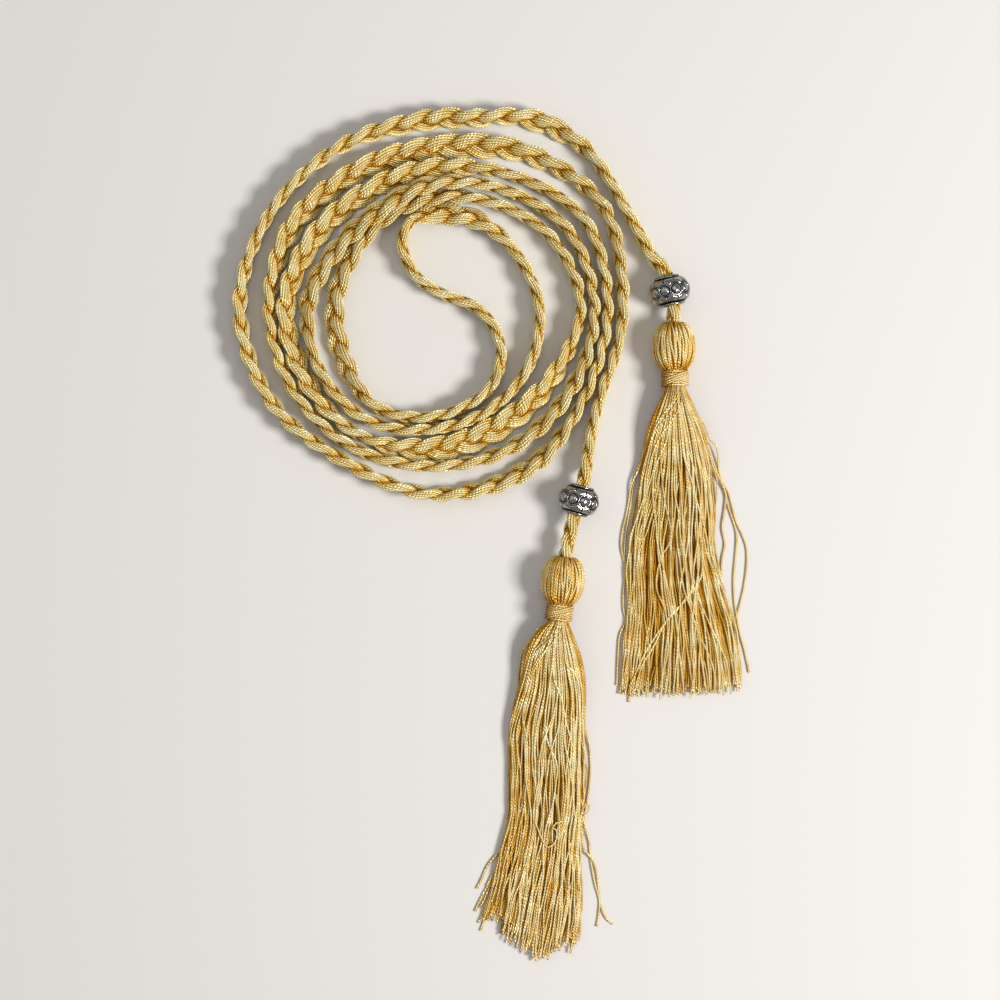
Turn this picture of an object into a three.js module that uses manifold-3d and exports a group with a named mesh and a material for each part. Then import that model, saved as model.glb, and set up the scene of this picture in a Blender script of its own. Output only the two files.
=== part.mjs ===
// A gold cincture cord laid out on a table. One flat three-strand plait is folded at its middle and
// wound into a loose double spiral, and each of its two ends carries a silver bead and a tassel.
// Millimetres, +Z up, the table at z = 0, the tassels towards -Y.
import * as THREE from 'three';
import { mergeVertices } from 'three/addons/utils/BufferGeometryUtils.js';
import Module from 'manifold-3d';

const wasm = await Module();
wasm.setup();

// Plait
const PLAIT_WIDTH = 8.7;
const PLAIT_THICKNESS = 3.7;
const PLAIT_SIDES = 10;
const SQUEEZED_DIAMETER = 4.6; // where it goes through a bead or into a tassel
const STRAIGHT_PAST_BEAD = 1.5; // how far it stays squeezed and straight past a bead's ends
const ON_EDGE = 90; // the lean of a plait that stands on edge

// Between pieces that touch
const GAP = 0.3;

// Beads
const BEAD_DIAMETER = 13.2;
const BEAD_LENGTH = 9.3;
const BEAD_SEGMENTS = 16;
const BOSSES = 10;
const BOSS_DIAMETER = 3.8;
const BOSS_FACETS = [8, 4]; // round it and from pole to pole
const PETAL_LENGTH = 2.6;
const PETAL_WIDTH = 2.2;
const PETAL_THICKNESS = 1.1;
const PETAL_FACETS = [5, 3];
const PETAL_PLACE = { radius: 0.7, along: 0.6 }; // shares of the bead's radius and half length
const PETAL_SLOPE = 40; // degrees between a petal and the bead's axis

// Tassel heads, necks and bindings
const HEAD_DIAMETER = 13.3;
const HEAD_LENGTH = 14.3;
const HEAD_FLAT = 0.3; // how far the soft head is pressed flat where it rests
const HEAD_SEGMENTS = 16;
const SOCKET_DEPTH = 3.0;
const NECK_DIAMETER = 7.2;
const NECK_ROOT = 3.0; // how far the neck runs on inside the skirt
const BINDING_LENGTH = 5.6;
const BINDING_THICKNESS = 1.0;
const BINDING_WRAPS = 4;
const WRAP_RELIEF = 0.3;

// Skirts
const UPPER_SKIRT_LENGTH = 98;
const LOWER_SKIRT_LENGTH = 106;
const UPPER_SKIRT_REACH = 20; // sideways from the tassel's line
const LOWER_SKIRT_REACH = 20;
const LOCKS = 12;
const LOCK_SIDES = 6;
const TIP_LENGTH = 0.03; // share of the skirt's length in which a lock narrows at its end
const TIP_FULLNESS = 0.6;
const LAST_ROW = 0.05; // the outline's rows stop this share short of a lock's end

// Where the heads and beads lie, from the middle of the coil, and how far each is turned from +Y
const UPPER_HEAD_TOP = { x: 74.7, y: -5.4, turned: 2 };
const UPPER_BEAD = { x: 73.6, y: 4.3, turned: 13 };
const LOWER_HEAD_TOP = { x: 41.4, y: -78.0, turned: -6.5 };
const LOWER_BEAD = { x: 45.4, y: -60.5, turned: -15 };

const BEAD_AXIS = BEAD_DIAMETER / 2;
const HEAD_AXIS = HEAD_DIAMETER / 2 - HEAD_FLAT;
const BORE_RADIUS = SQUEEZED_DIAMETER / 2 + GAP;
const NECK_RADIUS = NECK_DIAMETER / 2;
const SKIRT_START = HEAD_LENGTH + BINDING_LENGTH + 2 * GAP;

const UP = new THREE.Vector3(0, 0, 1);

const { degToRad, lerp } = THREE.MathUtils;

// Rows of a table as objects with the named columns
function table(columns, rows) {
  return rows.map((row) => Object.fromEntries(columns.map((name, i) => [name, row[i]])));
}

// A value of a table's column at any place between its rows
function between(rows, key, column, at) {
  const above = rows.findIndex((row) => row[key] >= at);
  if (above < 1) return rows[above < 0 ? rows.length - 1 : 0][column];
  const [low, high] = [rows[above - 1], rows[above]];
  return lerp(low[column], high[column], (at - low[key]) / (high[key] - low[key]));
}

// The cord's route. Lean is the turn of the plait about its own line: 0 lies flat, 90 stands on
// edge, under 90 has its left edge up and over 90 its right edge. Lift is a share of the plait's
// thickness above the table. Rise and squeeze go from 0 on the table to 1 in a bead.
const LEAD_COLUMNS = ['x', 'y', 'lean', 'rise', 'squeeze'];
const UPPER_LEAD = table(LEAD_COLUMNS, [
  [68.5, 14.9, 90, 0.45, 0.5],
  [64.8, 21.7, 90, 0.05, 0.1],
  [60.1, 30.1, 90, 0, 0],
  [54.6, 39.7, 90, 0, 0],
  [48.4, 47.7, 105, 0, 0],
  [41.2, 53.3, 120, 0, 0],
  [33.8, 57.0, 132, 0, 0],
  [24.2, 58.7, 112, 0, 0],
  [14.3, 58.1, 116, 0, 0],
]);
const LOWER_LEAD = table(LEAD_COLUMNS, [
  [56.7, -15.8, 90, 0, 0],
  [53.3, -25.1, 90, 0, 0],
  [50.3, -35.7, 90, 0, 0],
  [48.6, -45.0, 90, 0.2, 0.3],
]);
const HOOK = table(['x', 'y', 'lean'], [
  [20.2, -21.4, 90],
  [21.4, -14.3, 90],
  [19.2, -6.8, 90],
  [13.0, -0.3, 90],
  [4.3, 3.1, 90],
  [-3.7, 7.8, 90],
  [-8.1, 14.3, 90],
  [-9.3, 20.8, 90],
  [-6.4, 26.2, 100],
]);

// The turns about the middle of the coil, first anticlockwise and inwards
const TURN_COLUMNS = ['bearing', 'radius', 'lean', 'lift'];
const WINDING_IN = table(TURN_COLUMNS, [
  [90, 57.8, 128, 0],
  [120, 57.0, 100, 0],
  [150, 58.0, 90, 0],
  [180, 59.8, 105, 0],
  [210, 58.3, 105, 0],
  [240, 55.5, 105, 0],
  [270, 58.6, 105, 0],
  [300, 58.7, 128, 0],
  [330, 55.2, 90, 0],
  [360, 54.6, 90, 0],
  [390, 54.3, 90, 0],
  [420, 47.1, 90, 0],
  [450, 42.5, 128, 0],
  [480, 40.5, 135, 0],
  [510, 42.2, 135, 0],
  [540, 45.3, 126, 0],
  [570, 45.3, 124, 0],
  [600, 46.2, 90, 0],
  [630, 44.7, 30, 0],
  [660, 42.9, 25, 0],
  [690, 43.7, 56, 0],
  [720, 46.2, 90, 0],
  [750, 42.5, 90, 0],
  [780, 37.0, 82, 0],
  [810, 33.8, 55, 0],
  [840, 31.6, 45, 0],
  [870, 29.5, 50, 0],
  [900, 30.4, 46, 0],
  [930, 32.2, 46, 0],
  [960, 36.0, 80, 0],
  [990, 34.6, 90, 0],
  [1020, 31.9, 90, 0],
]);

// Then clockwise and outwards
const WINDING_OUT = table(TURN_COLUMNS, [
  [90, 28.8, 150, 0],
  [60, 30.1, 128, 0],
  [30, 30.7, 90, 0],
  [0, 33.2, 90, 0],
  [-30, 35.3, 90, 0],
  [-60, 36.9, 90, 0],
  [-90, 38.4, 90, 0],
  [-120, 40.9, 80, 0],
  [-150, 40.3, 90, 0],
  [-180, 38.8, 124, 0],
  [-210, 34.6, 130, 0.2],
  [-240, 33.5, 132, 1.0],
  [-270, 37.5, 122, 0.85],
  [-300, 41.9, 95, 0.1],
  [-330, 48.1, 90, 0],
  [-360, 50.5, 90, 0],
  [-390, 50.2, 66, 0],
  [-420, 50.5, 66, 0],
  [-450, 50.0, 90, 0],
  [-480, 50.5, 90, 0],
  [-510, 50.4, 80, 0],
  [-540, 50.5, 78, 0],
  [-570, 49.6, 46, 0],
  [-600, 47.6, 44, 0],
  [-630, 48.7, 15, 0],
  [-660, 55.2, 52, 0],
  [-690, 61.4, 80, 0],
  [-720, 59.2, 80, 0],
]);

// A point beside a head or bead, a distance along its own line
function beside(place, distance) {
  const turned = degToRad(place.turned);
  return { x: place.x - distance * Math.sin(turned), y: place.y + distance * Math.cos(turned) };
}

function squeezedAt(point, height) {
  return { ...point, lean: ON_EDGE, squeeze: 1, height };
}

function onTurn(row) {
  const bearing = degToRad(row.bearing);
  return { x: row.radius * Math.cos(bearing), y: row.radius * Math.sin(bearing), ...row };
}

function route() {
  const socket = GAP - SOCKET_DEPTH;
  const reach = BEAD_LENGTH / 2 + STRAIGHT_PAST_BEAD;
  return [
    squeezedAt(beside(UPPER_HEAD_TOP, socket), HEAD_AXIS),
    squeezedAt(beside(UPPER_HEAD_TOP, GAP), HEAD_AXIS),
    squeezedAt(beside(UPPER_BEAD, -reach), BEAD_AXIS),
    squeezedAt(beside(UPPER_BEAD, reach), BEAD_AXIS),
    ...UPPER_LEAD,
    ...WINDING_IN.map(onTurn),
    ...HOOK,
    ...WINDING_OUT.map(onTurn),
    ...LOWER_LEAD,
    squeezedAt(beside(LOWER_BEAD, reach), BEAD_AXIS),
    squeezedAt(beside(LOWER_BEAD, -reach), BEAD_AXIS),
    squeezedAt(beside(LOWER_HEAD_TOP, GAP), HEAD_AXIS),
    squeezedAt(beside(LOWER_HEAD_TOP, socket), HEAD_AXIS),
  ];
}

// A path whose section is given at each of its stations, by the vectors from the section's middle
// to its side and to its top
class StationPath extends THREE.Curve {
  constructor(stations) {
    super();
    this.stations = stations;
  }

  getSpacedPoints() {
    return this.stations.map((station) => station.middle);
  }

  computeFrenetFrames() {
    return {
      normals: this.stations.map((station) => station.side),
      binormals: this.stations.map((station) => station.top),
    };
  }
}

function unitPolygon(sides) {
  const corners = [];
  for (let i = 0; i < sides; i += 1) {
    const angle = (2 * Math.PI * (i + 0.5)) / sides;
    corners.push(new THREE.Vector2(Math.cos(angle), Math.sin(angle)));
  }
  return corners;
}

function loft(stations, sides) {
  return new THREE.ExtrudeGeometry(new THREE.Shape(unitPolygon(sides)), {
    steps: stations.length - 1,
    extrudePath: new StationPath(stations),
  });
}

// How far below its middle a section reaches
function reachBelow(side, top, sides) {
  return Math.max(...unitPolygon(sides).map((corner) => -(side.z * corner.x + top.z * corner.y)));
}

function cordStation(points, i) {
  const point = points[i];
  const before = points[Math.max(i - 1, 0)];
  const after = points[Math.min(i + 1, points.length - 1)];
  const ahead = new THREE.Vector3(after.x - before.x, after.y - before.y, 0).normalize();
  const left = new THREE.Vector3().crossVectors(UP, ahead);
  const lean = degToRad(point.lean);
  const squeeze = point.squeeze ?? 0;
  const side = left.clone().multiplyScalar(Math.cos(lean)).addScaledVector(UP, Math.sin(lean));
  const top = new THREE.Vector3().crossVectors(ahead, side);
  side.multiplyScalar(lerp(PLAIT_WIDTH, SQUEEZED_DIAMETER, squeeze) / 2);
  top.multiplyScalar(lerp(PLAIT_THICKNESS, SQUEEZED_DIAMETER, squeeze) / 2);
  const lying = reachBelow(side, top, PLAIT_SIDES) + PLAIT_THICKNESS * (point.lift ?? 0);
  const height = point.height ?? lerp(lying, BEAD_AXIS, point.rise ?? 0);
  return { middle: new THREE.Vector3(point.x, point.y, height), side, top };
}

function cord() {
  const points = route();
  return loft(points.map((point, i) => cordStation(points, i)), PLAIT_SIDES);
}

function toSolid(geometry) {
  const bare = geometry.clone();
  bare.deleteAttribute('normal');
  bare.deleteAttribute('uv');
  const merged = mergeVertices(bare);
  return new wasm.Manifold(new wasm.Mesh({
    numProp: 3,
    vertProperties: merged.attributes.position.array,
    triVerts: new Uint32Array(merged.index.array),
  }));
}

function toGeometry(solid) {
  const mesh = solid.getMesh();
  const geometry = new THREE.BufferGeometry();
  geometry.setAttribute('position', new THREE.BufferAttribute(mesh.vertProperties, 3));
  geometry.setIndex(new THREE.BufferAttribute(mesh.triVerts, 1));
  geometry.computeVertexNormals();
  return geometry;
}

function fused(geometries) {
  return geometries.map(toSolid).reduce((whole, next) => whole.add(next));
}

// A bead's outline from its bore to its waist, as shares of its radius and of half its length
const BEAD_OUTLINE = table(['radius', 'along'], [
  [0.56, 1.0],
  [0.66, 0.95],
  [0.66, 0.8],
  [0.6, 0.74],
  [0.76, 0.5],
  [0.86, 0.36],
]);

function beadBody() {
  const half = BEAD_LENGTH / 2;
  const outline = (side) => BEAD_OUTLINE.map(
    (row) => new THREE.Vector2((row.radius * BEAD_DIAMETER) / 2, side * row.along * half),
  );
  const profile = [
    new THREE.Vector2(BORE_RADIUS, -half),
    ...outline(-1),
    ...outline(1).reverse(),
    new THREE.Vector2(BORE_RADIUS, half),
    new THREE.Vector2(BORE_RADIUS, -half),
  ];
  return new THREE.LatheGeometry(profile, BEAD_SEGMENTS);
}

function boss() {
  const radius = BOSS_DIAMETER / 2;
  const sphere = new THREE.SphereGeometry(radius, ...BOSS_FACETS);
  return sphere.translate(BEAD_DIAMETER / 2 - radius, 0, 0);
}

// A petal lies on the slope between the waist and the rim
function petal(side) {
  const { radius, along } = PETAL_PLACE;
  return new THREE.SphereGeometry(1 / 2, ...PETAL_FACETS)
    .scale(PETAL_THICKNESS, PETAL_LENGTH, PETAL_WIDTH)
    .rotateZ(side * degToRad(PETAL_SLOPE))
    .translate((radius * BEAD_DIAMETER) / 2, (side * along * BEAD_LENGTH) / 2, 0);
}

function bead() {
  const pieces = [beadBody()];
  for (let i = 0; i < BOSSES; i += 1) {
    const angle = Math.PI / 2 + (2 * Math.PI * i) / BOSSES;
    pieces.push(boss().rotateY(angle));
    pieces.push(petal(1).rotateY(angle + Math.PI / BOSSES));
    pieces.push(petal(-1).rotateY(angle + Math.PI / BOSSES));
  }
  return toGeometry(fused(pieces));
}

// A head from its top to its neck, as shares of its radius and its length
const HEAD_OUTLINE = table(['radius', 'along'], [
  [0.56, 0.04],
  [0.72, 0.12],
  [0.87, 0.22],
  [0.97, 0.38],
  [1.0, 0.55],
  [0.95, 0.72],
  [0.84, 0.86],
  [0.68, 0.96],
]);

function head() {
  const down = (radius, along) => new THREE.Vector2(radius, -along);
  const profile = [
    down(0, SOCKET_DEPTH),
    down(BORE_RADIUS, SOCKET_DEPTH),
    down(BORE_RADIUS, 0),
    ...HEAD_OUTLINE.map((row) => down((row.radius * HEAD_DIAMETER) / 2, row.along * HEAD_LENGTH)),
    down(NECK_RADIUS, HEAD_LENGTH),
    down(NECK_RADIUS, SKIRT_START),
    down(NECK_RADIUS / 2, SKIRT_START + NECK_ROOT),
    down(0, SKIRT_START + NECK_ROOT),
  ].reverse();
  return new THREE.LatheGeometry(profile, HEAD_SEGMENTS).translate(0, 0, HEAD_AXIS);
}

// The skirts' outlines. Along is a share of the skirt's length, left and right of its reach, depth
// of the neck's diameter, and rise goes from the head's own line, 1, to the table, 0.
const SKIRT_COLUMNS = ['along', 'left', 'right', 'depth', 'rise'];
const UPPER_SKIRT = {
  length: UPPER_SKIRT_LENGTH,
  reach: UPPER_SKIRT_REACH,
  outline: table(SKIRT_COLUMNS, [
    [0, -0.17, 0.17, 0.94, 1],
    [0.06, -0.32, 0.3, 0.9, 0.75],
    [0.14, -0.53, 0.49, 0.8, 0.35],
    [0.29, -0.71, 0.62, 0.64, 0.05],
    [0.48, -0.89, 0.71, 0.52, 0],
    [0.67, -1.0, 0.84, 0.44, 0],
    [0.85, -1.05, 0.88, 0.4, 0],
    [1, -1.09, 0.89, 0.34, 0],
  ]),
  ends: table(['across', 'along'], [
    [-1, 0.96],
    [-0.4, 0.985],
    [0.2, 1.0],
    [1, 0.965],
  ]),
};
const LOWER_SKIRT = {
  length: LOWER_SKIRT_LENGTH,
  reach: LOWER_SKIRT_REACH,
  outline: table(SKIRT_COLUMNS, [
    [0, -0.17, 0.17, 0.94, 1],
    [0.04, -0.34, 0.29, 0.92, 0.8],
    [0.12, -0.47, 0.45, 0.82, 0.4],
    [0.28, -0.485, 0.67, 0.68, 0.05],
    [0.5, -0.42, 0.8, 0.56, 0],
    [0.7, -0.545, 0.87, 0.46, 0],
    [0.82, -0.73, 0.88, 0.4, 0],
    [1, -0.95, 0.87, 0.34, 0],
  ]),
  ends: table(['across', 'along'], [
    [-1, 0.8],
    [-0.5, 0.9],
    [0.1, 1.0],
    [0.6, 0.97],
    [1, 0.9],
  ]),
};

// How much longer or shorter each lock is cut than its neighbours, and how much fuller it is
const LOCK_TRIM = [0, 0.012, -0.01, 0.006, -0.014, 0.01];
const LOCK_FULLNESS = [1, 0.88, 1.04, 0.92];

// Each lock lies beside the next and is fullest in the middle of the skirt
const LOCK_OVERLAP = 1.3;
const EDGE_THINNING = 0.7;

function lockStation(skirt, across, index, along, tip) {
  const at = (column) => between(skirt.outline, 'along', column, along);
  const left = at('left') * skirt.reach;
  const right = at('right') * skirt.reach;
  const halfWidth = ((right - left) / LOCKS / 2) * LOCK_OVERLAP;
  const halfSpread = (right - left) / 2 - halfWidth;
  const fullness = LOCK_FULLNESS[index % LOCK_FULLNESS.length];
  const thinning = Math.sqrt(1 - EDGE_THINNING * across * across);
  const halfDepth = ((at('depth') * NECK_DIAMETER) / 2) * thinning * lerp(1, fullness, along);
  const height = lerp(halfDepth, HEAD_AXIS, at('rise'));
  return {
    middle: new THREE.Vector3(
      (left + right) / 2 + across * halfSpread,
      -(SKIRT_START + along * skirt.length),
      height,
    ),
    side: new THREE.Vector3(halfWidth * tip, 0, 0),
    top: new THREE.Vector3(0, 0, halfDepth * tip),
  };
}

function lock(skirt, index) {
  const across = (2 * index) / (LOCKS - 1) - 1;
  const end = between(skirt.ends, 'across', 'along', across) + LOCK_TRIM[index % LOCK_TRIM.length];
  const stations = skirt.outline
    .filter((row) => row.along < end - LAST_ROW)
    .map((row) => lockStation(skirt, across, index, row.along, 1));
  stations.push(lockStation(skirt, across, index, end - TIP_LENGTH, 1));
  stations.push(lockStation(skirt, across, index, end, TIP_FULLNESS));
  return loft(stations, LOCK_SIDES);
}

function tassel(skirt) {
  const pieces = [head()];
  for (let i = 0; i < LOCKS; i += 1) {
    pieces.push(lock(skirt, i));
  }
  const size = 2 * (SKIRT_START + skirt.length + skirt.reach);
  const aboveTable = new THREE.BoxGeometry(size, size, size).translate(0, 0, size / 2);
  return toGeometry(fused(pieces).intersect(toSolid(aboveTable)));
}

function binding() {
  const inner = NECK_RADIUS + GAP;
  const outer = inner + BINDING_THICKNESS;
  const start = HEAD_LENGTH + GAP;
  const profile = [
    new THREE.Vector2(inner, -start - BINDING_LENGTH),
    new THREE.Vector2(outer - WRAP_RELIEF, -start - BINDING_LENGTH),
  ];
  for (let i = BINDING_WRAPS - 1; i >= 0; i -= 1) {
    const wrap = BINDING_LENGTH / BINDING_WRAPS;
    profile.push(new THREE.Vector2(outer, -start - (i + 0.5) * wrap));
    profile.push(new THREE.Vector2(outer - WRAP_RELIEF, -start - i * wrap));
  }
  profile.push(new THREE.Vector2(inner, -start));
  profile.push(new THREE.Vector2(inner, -start - BINDING_LENGTH));
  return new THREE.LatheGeometry(profile, HEAD_SEGMENTS).translate(0, 0, HEAD_AXIS);
}

function finish(color, roughness, metalness) {
  return new THREE.MeshStandardMaterial({ color, roughness, metalness });
}

const GOLD_PLAIT = finish(0xd9a94e, 0.5, 0.35);
const GOLD_THREAD = finish(0xdcae55, 0.55, 0.3);
const BINDING_THREAD = finish(0xc08f3c, 0.5, 0.3);
const SILVER = finish(0x8a8a90, 0.25, 1.0);

function piece(name, geometry, material) {
  const mesh = new THREE.Mesh(geometry, material);
  mesh.name = name;
  return mesh;
}

function placed(place, ...pieces) {
  const holder = new THREE.Group();
  holder.position.set(place.x, place.y, place.height ?? 0);
  holder.rotation.z = degToRad(place.turned);
  holder.add(...pieces);
  return holder;
}

const group = new THREE.Group();
group.add(
  piece('cord', cord(), GOLD_PLAIT),
  placed({ ...UPPER_BEAD, height: BEAD_AXIS }, piece('bead_upper', bead(), SILVER)),
  placed({ ...LOWER_BEAD, height: BEAD_AXIS }, piece('bead_lower', bead(), SILVER)),
  placed(
    UPPER_HEAD_TOP,
    piece('tassel_upper', tassel(UPPER_SKIRT), GOLD_THREAD),
    piece('binding_upper', binding(), BINDING_THREAD),
  ),
  placed(
    LOWER_HEAD_TOP,
    piece('tassel_lower', tassel(LOWER_SKIRT), GOLD_THREAD),
    piece('binding_lower', binding(), BINDING_THREAD),
  ),
);

// The origin is on the table, under the middle of everything
const middle = new THREE.Box3().setFromObject(group).getCenter(new THREE.Vector3());
group.position.set(-middle.x, -middle.y, 0);

export default group;
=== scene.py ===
"""A gold cincture cord laid out on a table. A flat plait of three strands is folded at its middle and
wound into a loose double spiral, and each of its two ends carries a silver bead and a tassel.
+Z is up, the table is at z = 0 and the tassels point towards -Y. The object's sizes and tables are
in millimetres, and its meshes are made from them in metres. The camera, the table and the lights
are in metres."""
import math

import bpy
import numpy as np
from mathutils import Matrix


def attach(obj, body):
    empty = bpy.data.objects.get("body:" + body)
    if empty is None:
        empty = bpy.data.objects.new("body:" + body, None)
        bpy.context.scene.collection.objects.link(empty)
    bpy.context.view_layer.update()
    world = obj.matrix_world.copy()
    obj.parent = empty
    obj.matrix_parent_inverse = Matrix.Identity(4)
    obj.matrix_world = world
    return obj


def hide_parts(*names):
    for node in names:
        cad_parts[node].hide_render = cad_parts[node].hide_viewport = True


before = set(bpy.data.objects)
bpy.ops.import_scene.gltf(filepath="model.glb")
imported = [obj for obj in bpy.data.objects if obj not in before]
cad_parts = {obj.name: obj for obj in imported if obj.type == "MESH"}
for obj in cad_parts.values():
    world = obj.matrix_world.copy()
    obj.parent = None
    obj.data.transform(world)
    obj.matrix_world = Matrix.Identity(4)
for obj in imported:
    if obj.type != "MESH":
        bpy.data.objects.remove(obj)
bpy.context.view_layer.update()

MM = 0.001
COIL_MIDDLE = (-17.195, 72.392)

# Plait. Each pair holds a strand's size in the middle of the plait and at its edges
PLAIT_WIDTH = 8.7
PLAIT_THICKNESS = 3.7
SQUEEZED_DIAMETER = 4.6
PLAIT_PITCH = 26.0
PLAIT_STEP = 1.8
STRAND_SWING = 2.18
STRAND_HEAVE = 0.74
STRAND_HALF_WIDTHS = (2.4, 2.2)
STRAND_HALF_THICKNESSES = (1.1, 1.22)
STRAND_TURN = 70.0  # length in which the threads of a strand go once round it
STRAND_SWELL = 0.05  # how unevenly full a strand is, as a share of its size
PITCH_SWAY = 0.25  # how far the plaiting runs ahead or behind, in pitches
THREADS_ROUND_STRAND = 12
SIDES_ROUND_THREAD = 3
THREAD_GROOVE = 0.22
THREAD_CREST = 0.03
THREAD_SWAY = 0.08
THREAD_CROWDING = 0.18  # how much closer the threads lie on a strand's flat faces
SEAM_REACH = 0.5  # about how far past a strand's side the next strand is darkened by painted shade

# Beads
BEAD_DIAMETER = 13.2
BEAD_LENGTH = 9.3
BEAD_SIDES = 360
BOSSES = 10
WAIST_RADIUS = 5.9
BOSS_RADIUS = 1.45
BOSS_HEIGHT = 0.62
COLLAR_RADIUS = 1.84
COLLAR_HEIGHT = 0.42
COLLAR_WIDTH = 0.13
GROOVE_RADIUS = 1.57
GROOVE_DEPTH = 0.26
GROOVE_WIDTH = 0.1
PETAL_HEIGHT = 0.3
PETAL_GAP = (0.36, 0.56)  # from the collar's middle line to the petals' foot and top
GROUND_DEPTH = 0.08
RELIEF_FROM = 0.6  # share of the radius past which the surface has its relief

# Tassels
HEAD_DIAMETER = 13.3
HEAD_LENGTH = 14.3
HEAD_FLAT = 0.3
HEAD_THREADS = 58
HEAD_THREAD_SIDES = 7
HEAD_THREAD_HALF_WIDTH = 0.38
HEAD_THREAD_HALF_HEIGHT = 0.34
CROSSING_SHARE = 0.35  # share of a head's threads that lie slantwise over the others
CROSSING_TURN = 0.55  # how far such a thread goes round the head at most, in radians
CROSSING_RISE = 0.14
SOCKET_DEPTH = 3.0
CORE_DEPTH = 0.54  # how far the core lies inside the head's surface
CORE_TOP_DEPTH = 0.5  # and how much lower its top is
CORE_SIDES = 36
NECK_DIAMETER = 7.2
BINDING_LENGTH = 5.6
WRAP_HALF_WIDTH = 0.36
WRAP_HALF_HEIGHT = 0.3
WRAP_LENGTH = 150.0  # about the length of thread in the longest row of wraps
WRAP_DRIFT = 0.1
WRAP_UNEVEN = 0.06
TUCK_DEPTH = 0.5
BINDING_ROUNDING = 0.22
WRAP_STEPS = 320
WRAP_SIDES = 8
GAP = 0.3
SKIRT_THREADS = 215
SKIRT_THREAD_SIDES = 5
SKIRT_STEPS = 80
SKIRT_WAVE = 0.9
SKIRT_RIPPLE = 0.34
SKIRT_HEAVE = 0.42
STRAY_LIFT = 0.1
TIP_LENGTH = 1.5
TIP_FRAYED = 0.3  # length at the very end where a tip has its full width
WAD_SIDES = 48
WAD_STEPS = 60
CURL_LIFT = 0.3
CURL_SIDES = 7
CURL_STEPS = 60
THREAD_RADIUS = 0.315
TWIST_PITCH = 0.95  # length of one turn of a thread's two plies

ABOVE_TABLE = 0.02  # threads on the table clear it by this much, and beads by half of it
INSIDE_ABOVE_TABLE = 0.3  # and what lies inside the tassels by this much
SQUEEZED_PAST_BEAD = 1.5  # length at each side of a bead where the cord stays squeezed

BEAD_AXIS = BEAD_DIAMETER / 2
HEAD_AXIS = HEAD_DIAMETER / 2 - HEAD_FLAT
HEAD_RISE = (HEAD_AXIS - SQUEEZED_DIAMETER / 2) / (BEAD_AXIS - SQUEEZED_DIAMETER / 2)
SKIRT_START = HEAD_LENGTH + BINDING_LENGTH + 2 * GAP

# Where the heads and beads lie, from the middle of the coil, and their turn from +Y in degrees
UPPER_HEAD_TOP = (74.7, -5.4, 2)
UPPER_BEAD = (73.6, 4.3, 13)
LOWER_HEAD_TOP = (41.4, -78.0, -6.5)
LOWER_BEAD = (45.4, -60.5, -15)


def lerp(a, b, share):
    return a + (b - a) * share


def smoothstep(low, high, x):
    share = np.clip((x - low) / (high - low), 0, 1)
    return share * share * (3 - 2 * share)


def unit(vectors):
    return vectors / np.maximum(np.linalg.norm(vectors, axis=-1, keepdims=True), 1e-9)


def smooth_through(rows, spacing_columns, samples=16):
    """A centripetal Catmull-Rom curve through the rows, with distances from its first columns."""
    rows = np.array(rows, float)
    rows = np.vstack([2 * rows[0] - rows[1], rows, 2 * rows[-1] - rows[-2]])
    gaps = np.linalg.norm(np.diff(rows[:, :spacing_columns], axis=0), axis=1) ** 0.5
    knots = np.concatenate([[0], np.cumsum(gaps)])
    parts = []
    for i in range(len(rows) - 3):
        p, k = rows[i:i + 4], knots[i:i + 4]
        t = np.linspace(k[1], k[2], samples, endpoint=False)[:, None]
        a = [((k[j + 1] - t) * p[j] + (t - k[j]) * p[j + 1]) / (k[j + 1] - k[j]) for j in range(3)]
        b = [((k[j + 2] - t) * a[j] + (t - k[j]) * a[j + 1]) / (k[j + 2] - k[j]) for j in range(2)]
        parts.append(((k[2] - t) * b[0] + (t - k[1]) * b[1]) / (k[2] - k[1]))
    parts.append(rows[-2:-1])
    return np.vstack(parts)


def wander(rng, count, along, waves=(0.8, 1.9, 3.7)):
    """The smooth random sway of each of a number of threads, a sum of waves that each come so many
    times between 0 and 1 along. The default waves sway between about -1 and 1, closer ones less."""
    total = 0
    for wave in waves:
        size = rng.uniform(0.4, 1, (count, 1)) / wave ** 0.8
        total = total + size * np.sin(math.tau * wave * along + rng.uniform(0, 6.3, (count, 1)))
    return total / 1.4


# Camera, straight above as in the photograph
CAMERA_PLACE = (0.003885, 0.01194, 0.867)
camera = bpy.data.objects.new("camera", bpy.data.cameras.new("camera"))
camera.location = CAMERA_PLACE
camera.data.lens = 100
camera.data.sensor_width = 36
bpy.context.scene.collection.objects.link(camera)
bpy.context.scene.camera = camera


# The cord's route. Lean is the turn of the plait about its own line: 0 lies flat, 90 stands on
# edge, under 90 has its left edge up and over 90 its right edge. Lift is a share of the plait's
# thickness above the table. Rise and squeeze go from 0 on the table to 1 in a bead.
# x, y, lean, lift, rise, squeeze
UPPER_LEAD = [
    (68.5, 14.9, 90, 0, 0.45, 0.5),
    (64.8, 21.7, 90, 0, 0.05, 0.1),
    (60.1, 30.1, 90, 0, 0, 0),
    (54.6, 39.7, 90, 0, 0, 0),
    (48.4, 47.7, 105, 0, 0, 0),
    (41.2, 53.3, 120, 0, 0, 0),
    (33.8, 57.0, 132, 0, 0, 0),
    (24.2, 58.7, 112, 0, 0, 0),
    (14.3, 58.1, 116, 0, 0, 0),
]
HOOK = [
    (20.2, -21.4, 90, 0, 0, 0),
    (21.4, -14.3, 90, 0, 0, 0),
    (19.2, -6.8, 90, 0, 0, 0),
    (13.0, -0.3, 90, 0, 0, 0),
    (4.3, 3.1, 90, 0, 0, 0),
    (-3.7, 7.8, 90, 0, 0, 0),
    (-8.1, 14.3, 90, 0, 0, 0),
    (-9.3, 20.8, 90, 0, 0, 0),
    (-6.4, 26.2, 100, 0, 0, 0),
]
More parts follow.
